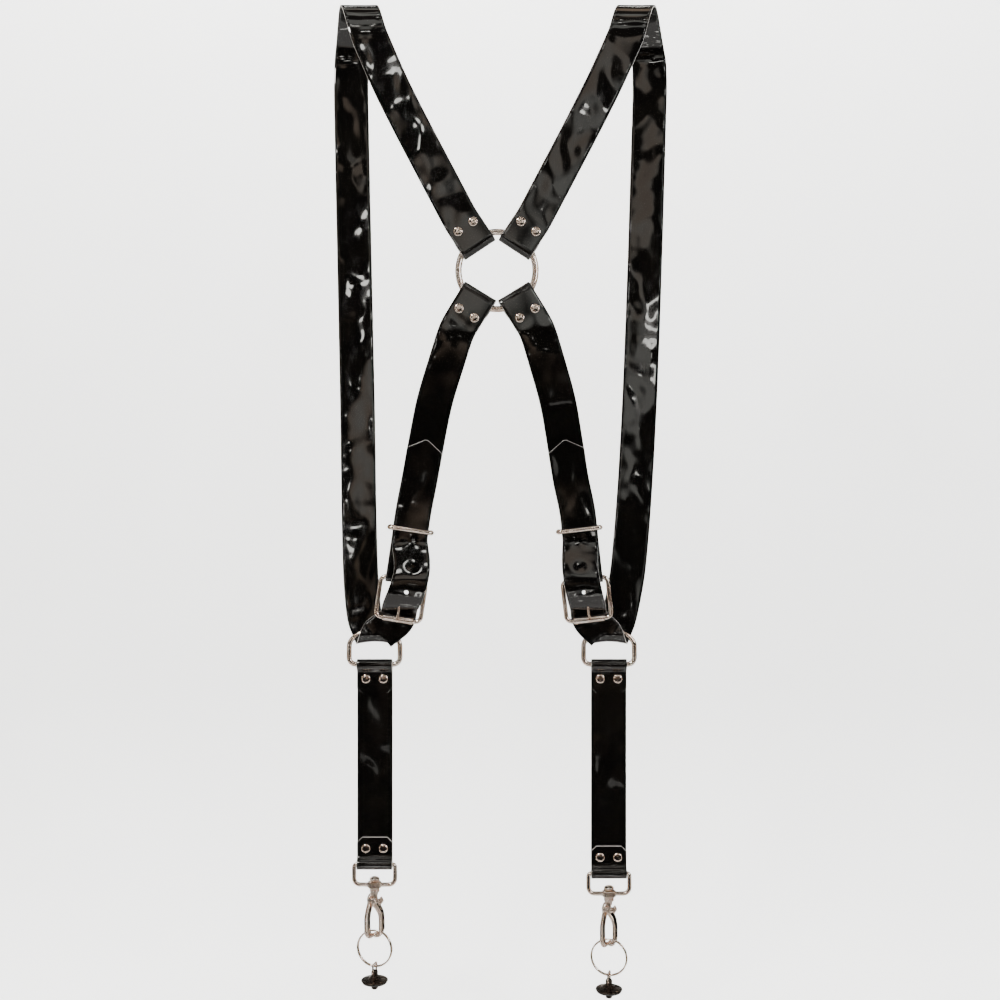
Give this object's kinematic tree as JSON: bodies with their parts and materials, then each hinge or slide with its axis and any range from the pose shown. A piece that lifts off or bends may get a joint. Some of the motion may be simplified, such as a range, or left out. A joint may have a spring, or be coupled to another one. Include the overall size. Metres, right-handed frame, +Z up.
{
  "type": "two-camera strap harness",
  "caption": "Cross-back strap harness with a back ring, belt buckles and two drop straps, each with a swivel snap hook, split ring and camera screw.",
  "frame": {"origin": "centre of the harness's bounding box as it hangs; the back ring is 203 mm above it", "axes": "+Z up, +X to the right as the buckle side is faced, -Y towards the side with the buckles"},
  "size_m": [0.3068, 0.0749, 0.8852],
  "materials": {
    "patent_pvc": "black patent PVC, liquid gloss",
    "nickel": "polished nickel plate",
    "spring_steel": "drawn spring wire",
    "dark_screw": "dark plated steel",
    "washer_rubber": "matt black rubber"
  },
  "bodies": {
    "strap_web": {"left_shoulder_strap": "patent_pvc", "right_shoulder_strap": "patent_pvc", "left_back_strap": "patent_pvc", "right_back_strap": "patent_pvc", "left_buckle_frame": "nickel", "right_buckle_frame": "nickel", "left_upper_ring_rivet_inner": "nickel", "left_upper_ring_rivet_outer": "nickel", "left_lower_ring_rivet_inner": "nickel", "left_lower_ring_rivet_outer": "nickel", "left_heel_rivet_inner": "nickel", "left_heel_rivet_outer": "nickel", "right_upper_ring_rivet_inner": "nickel", "right_upper_ring_rivet_outer": "nickel", "right_lower_ring_rivet_inner": "nickel", "right_lower_ring_rivet_outer": "nickel", "right_heel_rivet_inner": "nickel", "right_heel_rivet_outer": "nickel"},
    "back_ring": {"back_ring": "nickel"},
    "left_roller": {"left_buckle_roller": "nickel"},
    "left_prong": {"left_buckle_prong": "nickel"},
    "left_keeper": {"left_keeper_loop": "nickel"},
    "left_d_ring": {"left_d_ring": "nickel"},
    "left_drop": {"left_drop_strap": "patent_pvc", "left_drop_top_rivet_inner": "nickel", "left_drop_top_rivet_outer": "nickel", "left_drop_bottom_rivet_inner": "nickel", "left_drop_bottom_rivet_outer": "nickel"},
    "left_eye": {"left_swivel_eye": "nickel"},
    "left_hook": {"left_hook_body": "nickel", "left_hook_pin": "nickel", "left_hook_spring": "spring_steel"},
    "left_jaw": {"left_hook_jaw": "nickel"},
    "left_split": {"left_split_ring": "nickel"},
    "left_bail": {"left_screw_bail": "nickel"},
    "left_screw": {"left_camera_screw": "dark_screw", "left_rubber_washer": "washer_rubber"},
    "right_roller": {"right_buckle_roller": "nickel"},
    "right_prong": {"right_buckle_prong": "nickel"},
    "right_keeper": {"right_keeper_loop": "nickel"},
    "right_d_ring": {"right_d_ring": "nickel"},
    "right_drop": {"right_drop_strap": "patent_pvc", "right_drop_top_rivet_inner": "nickel", "right_drop_top_rivet_outer": "nickel", "right_drop_bottom_rivet_inner": "nickel", "right_drop_bottom_rivet_outer": "nickel"},
    "right_eye": {"right_swivel_eye": "nickel"},
    "right_hook": {"right_hook_body": "nickel", "right_hook_pin": "nickel", "right_hook_spring": "spring_steel"},
    "right_jaw": {"right_hook_jaw": "nickel"},
    "right_split": {"right_split_ring": "nickel"},
    "right_bail": {"right_screw_bail": "nickel"},
    "right_screw": {"right_camera_screw": "dark_screw", "right_rubber_washer": "washer_rubber"}
  },
  "joints": [
    {"name": "back_ring_spin", "type": "hinge", "parent": "strap_web", "child": "back_ring", "pos_m": [0, -0.03, 0.203], "axis": [0, 1, 0], "continuous": true},
    {"name": "left_roller_spin", "type": "hinge", "parent": "strap_web", "child": "left_roller", "pos_m": [-0.08782, -0.0125, -0.10211], "axis": [0.989, 0, -0.1478], "continuous": true},
    {"name": "left_prong_lift", "type": "hinge", "parent": "strap_web", "child": "left_prong", "pos_m": [-0.0825, -0.0125, -0.0665], "axis": [-0.989, 0, 0.1478], "range_deg": [0, 2]},
    {"name": "left_keeper_slide", "type": "slide", "parent": "strap_web", "child": "left_keeper", "axis": [0.1478, 0, 0.989], "range_m": [-0.006, 0.006]},
    {"name": "left_d_ring_swing", "type": "hinge", "parent": "strap_web", "child": "left_d_ring", "pos_m": [-0.1095, 0, -0.1191], "axis": [1, 0, 0], "range_deg": [-25, 25]},
    {"name": "left_drop_strap_swing", "type": "hinge", "parent": "left_d_ring", "child": "left_drop", "pos_m": [-0.1095, 0, -0.1435], "axis": [1, 0, 0], "range_deg": [-60, 60]},
    {"name": "left_eye_swing", "type": "hinge", "parent": "left_drop", "child": "left_eye", "pos_m": [-0.1095, 0, -0.3225], "axis": [1, 0, 0], "range_deg": [-60, 60]},
    {"name": "left_hook_swivel", "type": "hinge", "parent": "left_eye", "child": "left_hook", "pos_m": [-0.1095, 0, -0.3225], "axis": [0, 0, 1], "continuous": true},
    {"name": "left_jaw_open", "type": "hinge", "parent": "left_hook", "child": "left_jaw", "pos_m": [-0.11151, -0.00223, -0.354], "axis": [0.7431, -0.6691, 0], "range_deg": [0, 30], "stiffness_Nm_per_rad": 0.02, "springref_deg": -34.38},
    {"name": "left_split_ring_swing", "type": "hinge", "parent": "left_hook", "child": "left_split", "pos_m": [-0.1095, 0, -0.3815], "axis": [0.9613, -0.2756, 0], "range_deg": [-20, 20]},
    {"name": "left_bail_swing", "type": "hinge", "parent": "left_split", "child": "left_bail", "pos_m": [-0.1095, 0, -0.4112], "axis": [0.9613, -0.2756, 0], "range_deg": [-22, 22]},
    {"name": "left_screw_flip", "type": "hinge", "parent": "left_bail", "child": "left_screw", "pos_m": [-0.1095, 0, -0.4197], "axis": [0.2756, 0.9613, 0], "range_deg": [-50, 50]},
    {"name": "right_roller_spin", "type": "hinge", "parent": "strap_web", "child": "right_roller", "pos_m": [0.08157, -0.0125, -0.10227], "axis": [0.9936, 0, 0.1132], "continuous": true},
    {"name": "right_prong_lift", "type": "hinge", "parent": "strap_web", "child": "right_prong", "pos_m": [0.0775, -0.0125, -0.0665], "axis": [-0.9936, 0, -0.1132], "range_deg": [0, 2]},
    {"name": "right_keeper_slide", "type": "slide", "parent": "strap_web", "child": "right_keeper", "axis": [-0.1132, 0, 0.9936], "range_m": [-0.006, 0.006]},
    {"name": "right_d_ring_swing", "type": "hinge", "parent": "strap_web", "child": "right_d_ring", "pos_m": [0.1, 0, -0.1191], "axis": [1, 0, 0], "range_deg": [-25, 25]},
    {"name": "right_drop_strap_swing", "type": "hinge", "parent": "right_d_ring", "child": "right_drop", "pos_m": [0.1, 0, -0.1435], "axis": [1, 0, 0], "range_deg": [-60, 60]},
    {"name": "right_eye_swing", "type": "hinge", "parent": "right_drop", "child": "right_eye", "pos_m": [0.1, 0, -0.3305], "axis": [1, 0, 0], "range_deg": [-60, 60]},
    {"name": "right_hook_swivel", "type": "hinge", "parent": "right_eye", "child": "right_hook", "pos_m": [0.1, 0, -0.3305], "axis": [0, 0, 1], "continuous": true},
    {"name": "right_jaw_open", "type": "hinge", "parent": "right_hook", "child": "right_jaw", "pos_m": [0.09799, -0.00223, -0.362], "axis": [0.7431, -0.6691, 0], "range_deg": [0, 30], "stiffness_Nm_per_rad": 0.02, "springref_deg": -34.38},
    {"name": "right_split_ring_swing", "type": "hinge", "parent": "right_hook", "child": "right_split", "pos_m": [0.1, 0, -0.3895], "axis": [0.9613, -0.2756, 0], "range_deg": [-20, 20]},
    {"name": "right_bail_swing", "type": "hinge", "parent": "right_split", "child": "right_bail", "pos_m": [0.1, 0, -0.4192], "axis": [0.9613, -0.2756, 0], "range_deg": [-22, 22]},
    {"name": "right_screw_flip", "type": "hinge", "parent": "right_bail", "child": "right_screw", "pos_m": [0.1, 0, -0.4277], "axis": [0.2756, 0.9613, 0], "range_deg": [-50, 50]}
  ]
}
